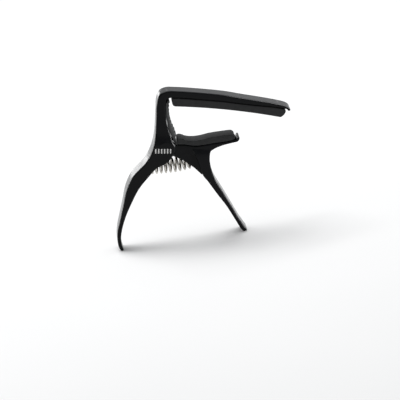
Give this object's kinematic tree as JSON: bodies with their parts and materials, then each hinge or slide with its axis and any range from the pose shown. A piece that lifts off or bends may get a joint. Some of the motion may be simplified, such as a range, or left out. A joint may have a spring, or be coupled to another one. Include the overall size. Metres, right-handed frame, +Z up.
{
  "type": "guitar capo",
  "caption": "One-handed spring clamp capo: cast frame with arm and handle, hinged cast lever, coil spring between the handles, soft silicone pads and a ribbed liner.",
  "frame": {"origin": "centre of the box that holds the capo, at the level of the two handle tips it stands on", "axes": "+X along the arm from the column towards its free end, +Y depth away from the front, +Z up; the capo is tilted so that both handle tips touch the ground"},
  "size_m": [0.0934, 0.0128, 0.0764],
  "materials": {
    "black_enamel": "satin",
    "black_silicone": "matte",
    "plated_steel": "gloss"
  },
  "bodies": {
    "frame_body": {"frame": "black_enamel", "string_pad": "black_silicone", "column_liner": "black_silicone", "pivot_pin": "plated_steel", "spring": "plated_steel"},
    "lever_body": {"lever": "black_enamel", "neck_pad": "black_silicone"}
  },
  "joints": [
    {"name": "squeeze", "type": "hinge", "parent": "frame_body", "child": "lever_body", "pos_m": [-0.01613, 0, 0.04784], "axis": [0, 1, 0], "range_deg": [0, 30], "stiffness_Nm_per_rad": 0.97, "springref_deg": -16.62, "deforming": ["spring"]}
  ]
}
